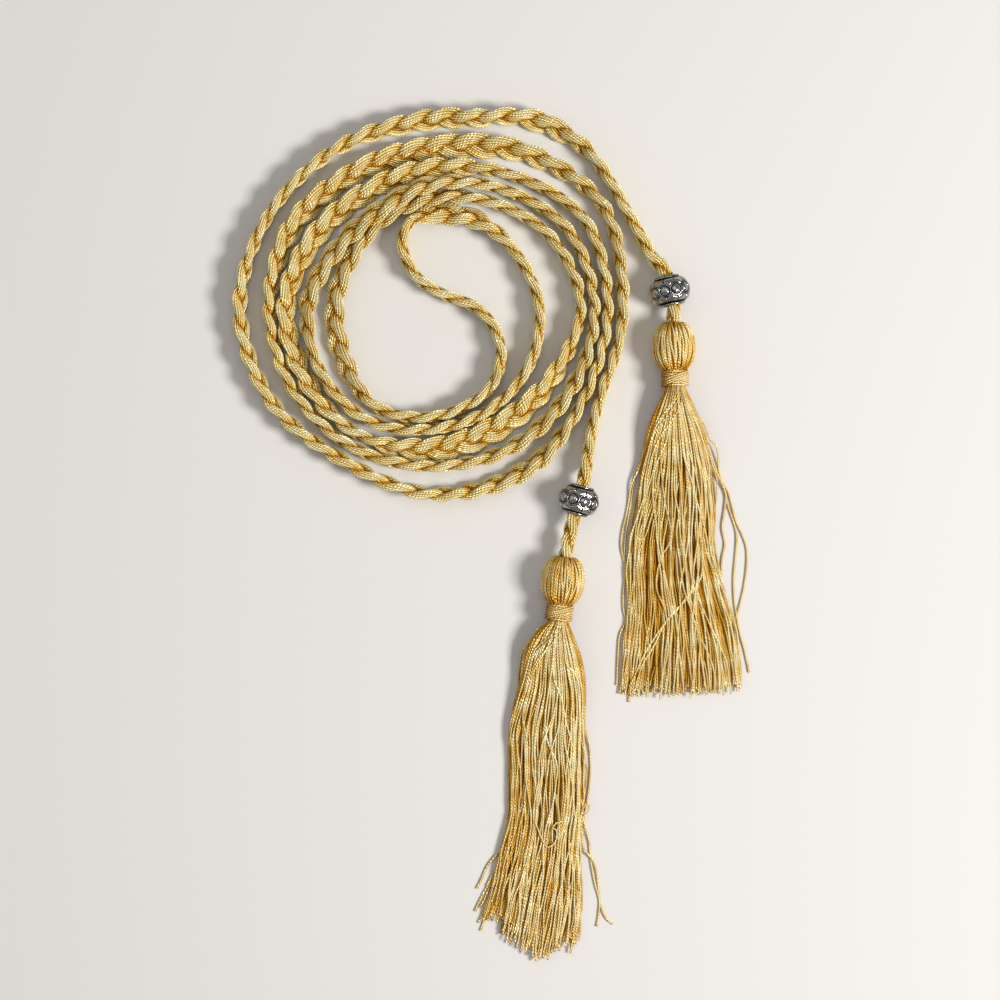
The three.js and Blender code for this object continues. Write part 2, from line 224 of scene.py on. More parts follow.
LOWER_LEAD = [
    (56.7, -15.8, 90, 0, 0, 0),
    (53.3, -25.1, 90, 0, 0, 0),
    (50.3, -35.7, 90, 0, 0, 0),
    (48.6, -45.0, 90, 0, 0.2, 0.3),
]

# The turns about the middle of the coil, first anticlockwise and inwards
# bearing, radius, lean, lift
WINDING_IN = [
    (90, 57.8, 128, 0),
    (120, 57.0, 100, 0),
    (150, 58.0, 90, 0),
    (180, 59.8, 105, 0),
    (210, 58.3, 105, 0),
    (240, 55.5, 105, 0),
    (270, 58.6, 105, 0),
    (300, 58.7, 128, 0),
    (330, 55.2, 90, 0),
    (360, 54.6, 90, 0),
    (390, 54.3, 90, 0),
    (420, 47.1, 90, 0),
    (450, 42.5, 128, 0),
    (480, 40.5, 135, 0),
    (510, 42.2, 135, 0),
    (540, 45.3, 126, 0),
    (570, 45.3, 124, 0),
    (600, 46.2, 90, 0),
    (630, 44.7, 30, 0),
    (660, 42.9, 25, 0),
    (690, 43.7, 56, 0),
    (720, 46.2, 90, 0),
    (750, 42.5, 90, 0),
    (780, 37.0, 82, 0),
    (810, 33.8, 55, 0),
    (840, 31.6, 45, 0),
    (870, 29.5, 50, 0),
    (900, 30.4, 46, 0),
    (930, 32.2, 46, 0),
    (960, 36.0, 80, 0),
    (990, 34.6, 90, 0),
    (1020, 31.9, 90, 0),
]

# Then clockwise and outwards
WINDING_OUT = [
    (90, 28.8, 150, 0),
    (60, 30.1, 128, 0),
    (30, 30.7, 90, 0),
    (0, 33.2, 90, 0),
    (-30, 35.3, 90, 0),
    (-60, 36.9, 90, 0),
    (-90, 38.4, 90, 0),
    (-120, 40.9, 80, 0),
    (-150, 40.3, 90, 0),
    (-180, 38.8, 124, 0),
    (-210, 34.6, 130, 0.2),
    (-240, 33.5, 132, 1.0),
    (-270, 37.5, 122, 0.85),
    (-300, 41.9, 95, 0.1),
    (-330, 48.1, 90, 0),
    (-360, 50.5, 90, 0),
    (-390, 50.2, 66, 0),
    (-420, 50.5, 66, 0),
    (-450, 50.0, 90, 0),
    (-480, 50.5, 90, 0),
    (-510, 50.4, 80, 0),
    (-540, 50.5, 78, 0),
    (-570, 49.6, 46, 0),
    (-600, 47.6, 44, 0),
    (-630, 48.7, 15, 0),
    (-660, 55.2, 52, 0),
    (-690, 61.4, 80, 0),
    (-720, 59.2, 80, 0),
]


def squeezed_at(place, distance, rise):
    """A row of the route beside a head or bead, a distance along its own line."""
    x, y, turned = place
    turned = math.radians(turned)
    return (x - distance * math.sin(turned), y + distance * math.cos(turned), 90, 0, rise, 1)


def on_turns(rows):
    """Rows of the route from a table of bearings and radii."""
    rows = np.array(rows, float)
    bearing = np.radians(rows[:, 0])
    none = np.zeros(len(rows))
    x, y = rows[:, 1] * np.cos(bearing), rows[:, 1] * np.sin(bearing)
    return np.stack([x, y, rows[:, 2], rows[:, 3], none, none], axis=1)


def cord_route():
    """The cord's middle line every PLAIT_STEP, the plait's width and thickness directions there, how
    far it is squeezed, and the length along it."""
    socket = GAP - SOCKET_DEPTH
    reach = BEAD_LENGTH / 2 + SQUEEZED_PAST_BEAD
    rows = smooth_through(np.vstack([
        squeezed_at(UPPER_HEAD_TOP, socket, HEAD_RISE),
        squeezed_at(UPPER_HEAD_TOP, GAP, HEAD_RISE),
        squeezed_at(UPPER_BEAD, -reach, 1),
        squeezed_at(UPPER_BEAD, reach, 1),
        UPPER_LEAD,
        on_turns(WINDING_IN),
        HOOK,
        on_turns(WINDING_OUT),
        LOWER_LEAD,
        squeezed_at(LOWER_BEAD, reach, 1),
        squeezed_at(LOWER_BEAD, -reach, 1),
        squeezed_at(LOWER_HEAD_TOP, GAP, HEAD_RISE),
        squeezed_at(LOWER_HEAD_TOP, socket, HEAD_RISE),
    ]), 2)
    length = np.concatenate([[0], np.cumsum(np.linalg.norm(np.diff(rows[:, :2], axis=0), axis=1))])
    along = np.linspace(0, length[-1], round(length[-1] / PLAIT_STEP) + 1)
    x, y, lean, lift, rise, squeeze = (np.interp(along, length, column) for column in rows.T)
    lean = np.radians(lean)
    lift, rise, squeeze = (np.clip(share, 0, 1) for share in (lift, rise, squeeze))
    half_width = lerp(PLAIT_WIDTH, SQUEEZED_DIAMETER, squeeze) / 2
    half_thickness = lerp(PLAIT_THICKNESS, SQUEEZED_DIAMETER, squeeze) / 2
    lying = np.hypot(half_width * np.sin(lean), half_thickness * np.cos(lean))
    height = lerp(lying + lift * PLAIT_THICKNESS, BEAD_AXIS, rise)
    middle = np.stack([x, y, height], axis=1)
    middle[:, :2] += COIL_MIDDLE
    ahead = unit(np.gradient(middle, axis=0))
    left = unit(np.cross((0, 0, 1), ahead))
    upward = np.cross(ahead, left)
    wide = left * np.cos(lean)[:, None] + upward * np.sin(lean)[:, None]
    return middle, wide, np.cross(ahead, wide), squeeze, along


def add_attribute(mesh, name, values):
    attribute = mesh.attributes.new(name, "FLOAT", "POINT")
    attribute.data.foreach_set("value", np.asarray(values, np.float32).ravel())


def make_piece(name, vertices, faces, uvs, shade, material):
    """A smooth-shaded piece from points in millimetres that rides on the object's one body."""
    mesh = bpy.data.meshes.new(name)
    mesh.from_pydata((np.asarray(vertices).reshape(-1, 3) * MM).tolist(), [], faces)
    mesh.uv_layers.new(name="threads").data.foreach_set("uv", np.asarray(uvs, np.float32).ravel())
    add_attribute(mesh, "shade", shade)
    mesh.shade_smooth()
    mesh.materials.append(material)
    piece = bpy.data.objects.new(name, mesh)
    bpy.context.scene.collection.objects.link(piece)
    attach(piece, "root")
    return piece


def tube_faces(count, rings, sides, along, turns):
    """The faces of a number of closed tubes, and their corners' places round and along the tube."""
    index = np.arange(count * rings * sides).reshape(count, rings, sides)
    after = np.roll(index, -1, axis=2)
    quads = np.stack([index[:, :-1], after[:, :-1], after[:, 1:], index[:, 1:]], axis=-1)
    near = np.arange(sides) * turns / sides
    far = near + turns / sides
    low = np.broadcast_to(along[:, :-1, None], quads.shape[:3])
    high = np.broadcast_to(along[:, 1:, None], quads.shape[:3])
    near, far = (np.broadcast_to(place, quads.shape[:3]) for place in (near, far))
    uvs = np.stack([near, low, far, low, far, high, near, high], axis=-1).reshape(-1, 2)
    faces = quads.reshape(-1, 4).tolist()
    faces += index[:, 0, ::-1].tolist() + index[:, -1].tolist()
    ends = np.zeros((2 * count * sides, 2))
    return faces, np.vstack([uvs, ends])


def tubes(name, points, along, shade, turns, material):
    """A piece of many closed tubes, from points of the shape (tube, ring, side, 3)."""
    count, rings, sides = points.shape[:3]
    faces, uvs = tube_faces(count, rings, sides, np.broadcast_to(along, (count, rings)), turns)
    return make_piece(name, points, faces, uvs, shade, material)


def section_angles(sides):
    """The places round a thread's section, from its top."""
    return math.tau * (np.arange(sides) / sides + 0.25)


def thread_points(lines, side_hint, half_width, half_height, sides):
    """Oval sections square to each line, whose width runs along side_hint."""
    ahead = unit(np.gradient(lines, axis=1))
    side = unit(side_hint - ahead * np.sum(ahead * side_hint, axis=-1, keepdims=True))
    top = np.cross(ahead, side)
    angle = section_angles(sides)
    half_width, half_height = (
        np.broadcast_to(half, lines.shape[:2])[..., None, None] for half in (half_width, half_height)
    )
    across = side[:, :, None] * half_width * np.cos(angle)[:, None]
    return lines[:, :, None] + across + top[:, :, None] * half_height * np.sin(angle)[:, None]


def section_shade(sides):
    """Painted shade: threads darken towards their sides and lower half, where they lie against each
    other.
    """
    angle = section_angles(sides)
    return 0.8 * np.abs(np.cos(angle)) ** 2 + 0.5 * (np.sin(angle) < -0.1)


def node_maker(material):
    """A function that adds a node to the material, with its inputs set or linked."""
    nodes, links = material.node_tree.nodes, material.node_tree.links

    def make(kind, inputs=(), **settings):
        node = nodes.new(kind)
        for key, value in settings.items():
            setattr(node, key, value)
        for key, value in dict(inputs).items():
            if isinstance(value, bpy.types.NodeSocket):
                links.new(value, node.inputs[key])
            else:
                node.inputs[key].default_value = value
        return node

    return make


def new_material(name):
    """A new material, the function that adds nodes to it, and its shader."""
    material = bpy.data.materials.new(name)
    material.use_nodes = True
    return material, node_maker(material), material.node_tree.nodes["Principled BSDF"]


def colour_ramp(make, value, stops):
    ramp = make("ShaderNodeValToRGB", {"Fac": value})
    elements = ramp.color_ramp.elements
    while len(elements) < len(stops):
        elements.new(0.5)
    for element, (position, colour) in zip(elements, stops):
        element.position = position
        element.color = (*colour, 1)
    return ramp.outputs["Color"]


def thread_material(name, crest_highlight, body, hollow_shade, roughness, ridged):
    """Glossy two-ply thread. The uv map counts threads across and turns of the plies along, and shade is
    painted light: 0 gives a pale painted highlight on the crests and 1 painted shade far down between
    the threads. Where it is ridged, each thread across the uv map stands up from a surface of many, and
    seam goes from 0 to over 1 where another strand of the plait lies against it, which paints shade
    there."""
    material, make, shader = new_material(name)
    uv = make("ShaderNodeUVMap", uv_map="threads").outputs["UV"]
    place = make("ShaderNodeSeparateXYZ", {"Vector": uv})

    def calculate(operation, *values):
        return make("ShaderNodeMath", dict(enumerate(values)), operation=operation).outputs[0]

    def spread(value, low, high, to_low, to_high):
        return make("ShaderNodeMapRange", {
            "Value": value, "From Min": low, "From Max": high, "To Min": to_low, "To Max": to_high,
        }).outputs[0]

    stretched = make("ShaderNodeVectorMath", {0: uv, 1: (5.0, 0.3, 1.0)}, operation="MULTIPLY")
    fibre = make("ShaderNodeTexNoise", {
        "Vector": stretched.outputs[0], "Scale": 1.0, "Detail": 2.0,
    }).outputs["Fac"]
    patch = make("ShaderNodeTexNoise", {
        "Vector": make("ShaderNodeTexCoord").outputs["Object"], "Scale": 170.0, "Detail": 2.0,
    }).outputs["Fac"]

    # the plies' twist wanders from patch to patch, and starts elsewhere on each ridge
    across = calculate("MULTIPLY", place.outputs["X"], 1.0 if ridged else 2.0)
    turn = calculate("ADD", calculate("ADD", across, place.outputs["Y"]), spread(patch, 0, 1, 0, 3))
    if ridged:
        thread = calculate("FLOOR", place.outputs["X"])
        turn = calculate("ADD", turn, calculate("MULTIPLY", thread, 0.38))
    ply = calculate("SINE", calculate("MULTIPLY", turn, math.tau))

    # painted highlight on the plies and painted shade between them, the ridges and the strands, and a
    # little uneven
    shade = make("ShaderNodeAttribute", attribute_name="shade").outputs["Fac"]
    shade = calculate("ADD", shade, spread(ply, -1.0, 1.0, 0.3, -0.26))
    shade = calculate("ADD", shade, spread(fibre, 0.3, 0.7, -0.16, 0.16))
    shade = calculate("ADD", shade, spread(patch, 0.35, 0.65, -0.16, 0.16))
    height = calculate("MULTIPLY", ply, 0.35)
    if ridged:
        middle = calculate("SUBTRACT", calculate("FRACT", place.outputs["X"]), 0.5)
        from_middle = calculate("MULTIPLY", calculate("ABSOLUTE", middle), 2.0)
        between = calculate("MULTIPLY", calculate("POWER", from_middle, 2.5), 0.95)
        shade = calculate("ADD", shade, between)
        height = calculate("SUBTRACT", height, calculate("POWER", from_middle, 2.0))
        # painted shade where another strand of the plait lies against this one
        seam = make("ShaderNodeAttribute", attribute_name="seam").outputs["Fac"]
        shade = calculate("ADD", shade, spread(seam, 0.98, 1.22, 0.0, 0.62))

    # the colours run from a pale painted highlight through the thread's own colour to painted shade,
    # darker still at the far end
    deepest_shade = (0.55 * hollow_shade[0], 0.38 * hollow_shade[1], 0.5 * hollow_shade[2])
    colour = colour_ramp(make, calculate("MULTIPLY", shade, 0.6), [
        (0.0, crest_highlight), (0.24, body), (0.6, hollow_shade), (1.0, deepest_shade),
    ])
    twist = make("ShaderNodeBump", {"Height": height, "Strength": 1.0, "Distance": 0.3 * MM})
    fine = make("ShaderNodeBump", {
        "Height": fibre, "Strength": 0.4, "Distance": 0.06 * MM, "Normal": twist.outputs["Normal"],
    })
    links = material.node_tree.links
    links.new(colour, shader.inputs["Base Color"])
    links.new(fine.outputs["Normal"], shader.inputs["Normal"])
    shader.inputs["Roughness"].default_value = roughness
    shader.inputs["Metallic"].default_value = 0.3
    shader.inputs["Specular IOR Level"].default_value = 0.22
    return material


def silver_material():
    """Cast silver, bright where it stands proud and dark with tarnish in its hollows."""
    material, make, shader = new_material("antique_silver")
    shade = make("ShaderNodeAttribute", attribute_name="shade").outputs["Fac"]
    grain = make("ShaderNodeTexNoise", {
        "Vector": make("ShaderNodeTexCoord").outputs["Object"], "Scale": 2600.0, "Detail": 4.0,
    })
    uneven = make("ShaderNodeMapRange", {
        "Value": grain.outputs["Fac"], "From Min": 0.3, "From Max": 0.7,
        "To Min": -0.13, "To Max": 0.13,
    })
    tarnish = make("ShaderNodeMath", {0: shade, 1: uneven.outputs[0]}, operation="ADD")
    stops = [(0.1, (0.38, 0.37, 0.37)), (0.34, (0.075, 0.075, 0.08)), (0.55, (0.007, 0.007, 0.009))]
    colour = colour_ramp(make, tarnish.outputs[0], stops)
    rough = make("ShaderNodeMapRange", {
        "Value": tarnish.outputs[0], "From Min": 0.2, "From Max": 0.8,
        "To Min": 0.16, "To Max": 0.45,
    })
    cast = make("ShaderNodeBump", {
        "Height": grain.outputs["Fac"], "Strength": 0.35, "Distance": 0.05 * MM,
    })
    links = material.node_tree.links
    links.new(colour, shader.inputs["Base Color"])
    links.new(rough.outputs[0], shader.inputs["Roughness"])
    links.new(cast.outputs["Normal"], shader.inputs["Normal"])
    shader.inputs["Metallic"].default_value = 1.0
    return material


# each thread material's colours: a pale painted highlight, the thread's own colour, and painted shade
GOLD_PLAIT = thread_material(
    "gold_plait", (1.0, 0.97, 0.64), (0.88, 0.6, 0.085), (0.52, 0.245, 0.012), 0.32, True,
)
GOLD_THREAD = thread_material(
    "gold_thread", (1.0, 0.96, 0.64), (0.83, 0.545, 0.08), (0.58, 0.245, 0.008), 0.32, False,
)
BINDING_THREAD = thread_material(
    "binding_thread", (1.0, 0.9, 0.5), (0.76, 0.42, 0.06), (0.3, 0.11, 0.008), 0.3, False,
)
SILVER = silver_material()


def plait():
    """The three strands, each a surface ridged by its threads, with their middle line and length."""
    middle, wide, top, squeeze, along = cord_route()
    rng = np.random.default_rng(3)
    strand = np.arange(3)[:, None]
    share = along / along[-1]
    sway = wander(rng, 1, share, (9, 23, 41))[0]
    phase = math.tau * (along / PLAIT_PITCH + PITCH_SWAY * sway + strand / 3)
    narrow = lerp(1, SQUEEZED_DIAMETER / PLAIT_WIDTH, squeeze)
    thick = lerp(1, SQUEEZED_DIAMETER / PLAIT_THICKNESS, squeeze)
    edge = np.sin(phase) ** 4
    fullness = 1 + STRAND_SWELL * wander(rng, 3, share, (37, 61, 97))
    half_u = lerp(*STRAND_HALF_WIDTHS, edge) * fullness * narrow
    half_v = lerp(*STRAND_HALF_THICKNESSES, edge) * fullness * thick
    mid_u = STRAND_SWING * np.sin(phase) * narrow
    mid_v = STRAND_HEAVE * np.sin(2 * phase) * thick
    sides = SIDES_ROUND_THREAD * THREADS_ROUND_STRAND
    even = math.tau * (np.arange(sides) / sides + (along / STRAND_TURN)[:, None])
    angle = even + THREAD_CROWDING * np.sin(2 * even)
    uneven = THREAD_SWAY * wander(rng, THREADS_ROUND_STRAND, share, (31, 67, 113)).T
    groove = np.arange(sides) % SIDES_ROUND_THREAD == 0
    proud = uneven.repeat(SIDES_ROUND_THREAD, axis=1) + np.where(groove, -THREAD_GROOVE, THREAD_CREST)
    u = mid_u[..., None] + (half_u[..., None] + proud) * np.cos(angle)
    v = mid_v[..., None] + (half_v[..., None] + proud) * np.sin(angle)

    # how far each point lies from the middle of the nearest other strand, 1 just past its surface
    nearest = np.full_like(u, 2)
    for k in range(3):
        for other in {0, 1, 2} - {k}:
            away_u = (u[k] - mid_u[other][:, None]) / (half_u[other] + SEAM_REACH)[:, None]
            away_v = (v[k] - mid_v[other][:, None]) / (half_v[other] + SEAM_REACH)[:, None]
            nearest[k] = np.minimum(nearest[k], np.hypot(away_u, away_v))
    # painted shade where another strand lies close, a little paler elsewhere
    shade = 0.58 * (1 - smoothstep(0.82, 1.25, nearest)) - 0.04

    points = middle[:, None] + wide[:, None] * u[..., None] + top[:, None] * v[..., None]
    points[..., 2] = np.maximum(points[..., 2], ABOVE_TABLE)
    piece = tubes(
        "cord_plait", points, along / TWIST_PITCH, shade, THREADS_ROUND_STRAND,
        GOLD_PLAIT,
    )
    # nearness to the other strands, which the material turns into painted shade
    add_attribute(piece.data, "seam", 2 - nearest)
    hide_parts("cord")
    return piece, middle, along[-1]


cord_piece, cord_middle, cord_length = plait()


def placed(points, place):
    """Points about a head's top or a bead's middle, in the object's frame."""
    x, y, turned = place
    turned = math.radians(turned)
    turn = np.array([
        [math.cos(turned), -math.sin(turned), 0],
        [math.sin(turned), math.cos(turned), 0],
        [0, 0, 1],
    ])
    return points @ turn.T + np.array([x + COIL_MIDDLE[0], y + COIL_MIDDLE[1], 0])


# A bead's outline from the middle of its bore to its waist, as shares of its radius and half length
# radius, along
BEAD_OUTLINE = [
    (0.40, 0.0),
    (0.40, 0.6),
    (0.41, 0.93),
    (0.47, 1.0),
    (0.56, 0.99),
    (0.61, 0.93),
    (0.61, 0.87),
    (0.61, 0.84),
    (0.68, 0.79),
    (0.785, 0.66),
    (0.855, 0.48),
    (0.89, 0.22),
    (0.895, 0.0),
]


def ridge(distance, middle, width, height):
    """A round-topped rise along a middle line, or a groove where its height is below 0."""
    return height * np.exp(-((distance - middle) / width) ** 2)


def bead(name, place):
    """A turned body with a ring of bosses round its waist, each in a collar, and petals above and
    below. The shade is darkest where the surface lies under its surroundings."""
    half = smooth_through(BEAD_OUTLINE, 2, 4)
    outline = np.vstack([half, half[-2:0:-1] * (1, -1)])
    radius = outline[:, 0] * BEAD_DIAMETER / 2
    along = outline[:, 1] * BEAD_LENGTH / 2
    around = math.tau * np.arange(BEAD_SIDES) / BEAD_SIDES
    pitch = math.tau / BOSSES
    from_boss = ((around + pitch / 2) % pitch - pitch / 2)[:, None] * WAIST_RADIUS
    rise = np.abs(outline[:, 1])
    outer = radius > RELIEF_FROM * BEAD_DIAMETER / 2
    distance = np.hypot(from_boss, along)
    dome = BOSS_HEIGHT * np.sqrt(np.maximum(BOSS_RADIUS ** 2 - distance ** 2, 0)) / BOSS_RADIUS
    collar = ridge(distance, COLLAR_RADIUS, COLLAR_WIDTH, COLLAR_HEIGHT)
    groove = ridge(distance, GROOVE_RADIUS, GROOVE_WIDTH, -GROOVE_DEPTH)
    petal = smoothstep(COLLAR_RADIUS + PETAL_GAP[0], COLLAR_RADIUS + PETAL_GAP[1], distance)
    petal = petal * (1 - smoothstep(0.7, 0.8, rise)) * smoothstep(0.06, 0.26, np.abs(from_boss))
    relief = dome + collar + groove + PETAL_HEIGHT * petal - GROUND_DEPTH
    relief = np.where(outer, relief, 0)
    full = radius + relief
    local = full.copy()
    for reach in (1, 3, 5):
        for axis in (0, 1):
            local = (np.roll(local, reach, axis) + local + np.roll(local, -reach, axis)) / 3
    shade = np.clip(0.3 - (full - local) / 0.2, 0, 1)
    shade = np.where(outer, shade, 0.75 - 0.5 * (rise > 0.9))
    points = np.stack([
        full * np.cos(around)[:, None],
        np.broadcast_to(along, full.shape),
        full * np.sin(around)[:, None] + BEAD_AXIS,
    ], axis=-1)
    points[..., 2] = np.maximum(points[..., 2], ABOVE_TABLE / 2)
    index = np.arange(full.size).reshape(full.shape)
    right, down = np.roll(index, -1, 0), np.roll(index, -1, 1)
    across = np.roll(right, -1, 1)
    faces = np.stack([index, right, across, down], axis=-1).reshape(-1, 4)
    piece = make_piece(
        name + "_cast", placed(points, place), faces.tolist(), np.zeros((faces.size, 2)), shade,
        SILVER,
    )
    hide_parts(name)
    return piece


bead_pieces = [bead("bead_upper", UPPER_BEAD), bead("bead_lower", LOWER_BEAD)]

# A head from the bottom of its socket over its top to the neck, as shares of its radius and length
# radius, along
HEAD_OUTLINE = [
    (0.40, 0.18),
    (0.41, 0.08),
    (0.45, 0.03),
    (0.55, 0.035),
    (0.70, 0.09),
    (0.83, 0.17),
    (0.93, 0.28),
    (0.985, 0.4),
    (1.0, 0.52),
    (0.985, 0.65),
    (0.92, 0.78),
    (0.81, 0.89),
    (0.67, 0.97),
    (0.57, 1.03),
    (0.54, 1.14),
]


def head(name, place, seed):
    """Threads laid side by side over the head, from the pinch round the cord to the neck."""
    rng = np.random.default_rng(seed)
    outline = smooth_through(HEAD_OUTLINE, 2, 5)
    share = np.linspace(0, 1, len(outline))
    radius = outline[:, 0] * HEAD_DIAMETER / 2
    down = outline[:, 1] * HEAD_LENGTH
    count = HEAD_THREADS
    start = math.tau * (np.arange(count) + rng.uniform(-0.25, 0.25, count))[:, None] / count
    crosses = rng.random((count, 1)) < CROSSING_SHARE
    crossing = np.where(crosses, rng.uniform(-CROSSING_TURN, CROSSING_TURN, (count, 1)), 0)
    angle = start + 0.07 * wander(rng, count, share) + crossing * (share - 0.5)
    half_width = np.minimum(HEAD_THREAD_HALF_WIDTH, 1.1 * math.pi * radius / count)
    proud = np.where(crosses, CROSSING_RISE, rng.uniform(-0.1, 0, (count, 1)))
    proud = proud * smoothstep(0.1, 0.3, share) * (1 - smoothstep(0.8, 0.95, share))
    reach = radius - HEAD_THREAD_HALF_HEIGHT + proud
    radial = np.stack([np.cos(angle), np.zeros_like(angle), np.sin(angle)], axis=-1)
    lines = radial * reach[..., None]
    lines[..., 1] = -down
    lines[..., 2] = np.maximum(lines[..., 2] + HEAD_AXIS, 0.4)
    hint = np.cross((0, 1, 0), radial)
    points = thread_points(lines, hint, half_width, HEAD_THREAD_HALF_HEIGHT, HEAD_THREAD_SIDES)
    points[..., 2] = np.maximum(points[..., 2], ABOVE_TABLE)
    length = np.concatenate([[0], np.cumsum(np.hypot(np.diff(radius), np.diff(down)))])
    # painted shade where the head draws in round the cord and at the neck, and each thread's own random
    # tone
    pinched = 1 - smoothstep(0.15, 0.42, share)
    necked = smoothstep(0.68, 0.92, share)
    shade = (0.45 * pinched + 0.55 * necked + rng.uniform(-0.02, 0.26, (count, 1)))[..., None]
    shade = shade + 0.65 * section_shade(HEAD_THREAD_SIDES)
    turn = rng.uniform(0, 1, (count, 1))
    piece = tubes(
        name + "_head", placed(points, place), length / TWIST_PITCH + turn, shade, 1,
        GOLD_THREAD,
    )
    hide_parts(name)


def core(name, place):
    """The wad of threads under the head's outer ones, seen between them, coloured all over with painted
    shade.
    """
    outline = smooth_through(HEAD_OUTLINE[3:], 2, 4)
    radius = outline[:, 0] * HEAD_DIAMETER / 2 - CORE_DEPTH
    sunk = CORE_TOP_DEPTH * smoothstep(3, 0, np.arange(len(outline)))
    down = outline[:, 1] * HEAD_LENGTH + sunk
    angle = math.tau * np.arange(CORE_SIDES) / CORE_SIDES
    points = np.stack([
        radius[:, None] * np.cos(angle),
        np.broadcast_to(-down[:, None], (len(radius), CORE_SIDES)),
        np.maximum(radius[:, None] * np.sin(angle) + HEAD_AXIS, INSIDE_ABOVE_TABLE),
    ], axis=-1)[None]
    # an even painted shade
    shade = np.full(points.shape[:3], 0.7)
    piece = tubes(
        name + "_core", placed(points, place), down / TWIST_PITCH, shade, CORE_SIDES,
        GOLD_THREAD,
    )
    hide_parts(name)


# The skirts. Along is a share of the skirt's length, and left, right and across are shares of its
# reach. Depth is a share of the neck's diameter, and rise goes from the head's own line, 1, to the
# table, 0. Crimp is how far the threads wave from side to side.
UPPER_SKIRT = {
    "length": 98,
    "reach": 20,
    "crimp": 0.9,
    # along, left, right, depth, rise
    "outline": [
        (0, -0.17, 0.17, 0.94, 1),
        (0.06, -0.32, 0.3, 0.9, 0.75),
        (0.14, -0.48, 0.46, 0.8, 0.35),
        (0.25, -0.57, 0.54, 0.68, 0.08),
        (0.36, -0.65, 0.545, 0.6, 0.02),
        (0.49, -0.77, 0.53, 0.52, 0),
        (0.62, -0.83, 0.62, 0.46, 0),
        (0.75, -0.88, 0.79, 0.42, 0),
        (0.87, -0.95, 0.87, 0.4, 0),
        (1, -1.03, 0.88, 0.34, 0),
    ],
    # how far the wad inside goes, and its share of the skirt's width there
    "wad": (0.93, 0.8),
    # where the threads end: place from side to side, -1 to 1, and along
    "ends": [(-1, 0.945), (-0.85, 0.965), (0.4, 0.97), (0.8, 0.955), (1, 0.945)],
    # along, and place from side to side, -1 to 1, of each thread that sweeps over the others
    "sweeps": [
        [(0, 0.55), (0.03, 0.3), (0.07, -0.25), (0.12, -0.8), (0.2, -0.97), (0.4, -0.92), (0.95, -0.95)],
        [(0, 0.4), (0.03, 0.1), (0.06, -0.4), (0.1, -0.85), (0.18, -0.96), (0.5, -0.97), (0.96, -0.9)],
        [(0, 0.2), (0.03, -0.1), (0.06, -0.55), (0.1, -0.9), (0.2, -0.9), (0.5, -0.85), (0.94, -0.99)],
        [(0, 0.75), (0.04, 0.5), (0.09, -0.1), (0.15, -0.65), (0.25, -0.85), (0.5, -0.7), (0.97, -0.8)],
        [(0, 0.2), (0.19, 0.22), (0.28, 0.39), (0.38, 0.63), (0.43, 0.77), (0.5, 0.9), (0.97, 0.93)],
        [(0, 0.8), (0.25, 0.84), (0.42, 0.77), (0.59, 0.6), (0.636, 0.39), (0.663, 0.17),
         (0.696, -0.03), (0.729, -0.26), (0.767, -0.43), (0.806, -0.56), (0.856, -0.68), (0.94, -0.85)],
        [(0, 0.3), (0.19, 0.28), (0.3, 0.44), (0.47, 0.56), (0.585, 0.44), (0.658, 0.25),
         (0.701, -0.07), (0.756, -0.34), (0.812, -0.5), (0.873, -0.64), (0.95, -0.73)],
        [(0, -0.5), (0.19, -0.54), (0.3, -0.38), (0.45, -0.13), (0.492, -0.14), (0.53, -0.3),
         (0.575, -0.4), (0.637, -0.4), (0.677, -0.29), (0.717, -0.24), (0.81, -0.27), (0.95, -0.32)],
        [(0, -0.1), (0.16, -0.16), (0.36, -0.09), (0.47, 0.0), (0.58, -0.03), (0.81, -0.21),
         (0.96, -0.26)],
        [(0, -0.3), (0.16, -0.38), (0.24, -0.66), (0.35, -0.63), (0.45, -0.41), (0.56, -0.2),
         (0.97, 0.04)],
    ],
    # along, across of each loose thread
    "strays": [
        [(0.14, 0.48), (0.169, 0.535), (0.181, 0.6), (0.221, 0.645), (0.266, 0.648), (0.3, 0.692),
         (0.329, 0.776), (0.375, 0.832), (0.42, 0.879), (0.466, 0.968), (0.506, 1.034), (0.551, 1.042),
         (0.619, 0.998), (0.675, 0.933), (0.731, 0.84), (0.77, 0.745), (0.821, 0.755), (0.951, 0.766)],
        [(0.22, 0.54), (0.297, 0.665), (0.323, 0.716), (0.374, 0.768), (0.42, 0.838), (0.466, 0.891),
         (0.533, 0.868), (0.606, 0.825), (0.674, 0.822), (0.725, 0.847), (0.782, 0.887), (0.833, 0.947),
         (0.91, 1.017)],
        [(0.25, 0.55), (0.306, 0.691), (0.34, 0.746), (0.396, 0.709), (0.447, 0.667), (0.498, 0.703),
         (0.549, 0.65), (0.622, 0.637), (0.679, 0.716), (0.73, 0.79), (0.782, 0.826), (0.937, 0.846)],
        [(0.248, 0.563), (0.305, 0.614), (0.373, 0.583), (0.452, 0.533), (0.519, 0.522), (0.576, 0.584),
         (0.645, 0.661), (0.707, 0.733), (0.759, 0.766), (0.832, 0.773), (0.888, 0.736), (0.95, 0.719)],
        [(0.229, -0.556), (0.257, -0.616), (0.296, -0.714), (0.352, -0.771), (0.397, -0.82),
         (0.442, -0.883), (0.492, -0.917), (0.532, -0.885), (0.577, -0.856), (0.634, -0.902),
         (0.701, -0.911), (0.73, -0.877), (0.774, -0.981), (0.831, -1.019), (0.935, -1.056)],
        [(0.162, -0.461), (0.212, -0.553), (0.29, -0.672), (0.38, -0.762), (0.448, -0.829),
         (0.51, -0.864), (0.578, -0.837), (0.668, -0.833), (0.724, -0.876), (0.832, -0.886),
         (0.955, -0.965)],
        [(0.213, -0.43), (0.275, -0.55), (0.336, -0.645), (0.409, -0.725), (0.465, -0.77),
         (0.521, -0.79), (0.589, -0.815), (0.691, -0.8), (0.804, -0.82), (0.99, -0.877)],
    ],
}
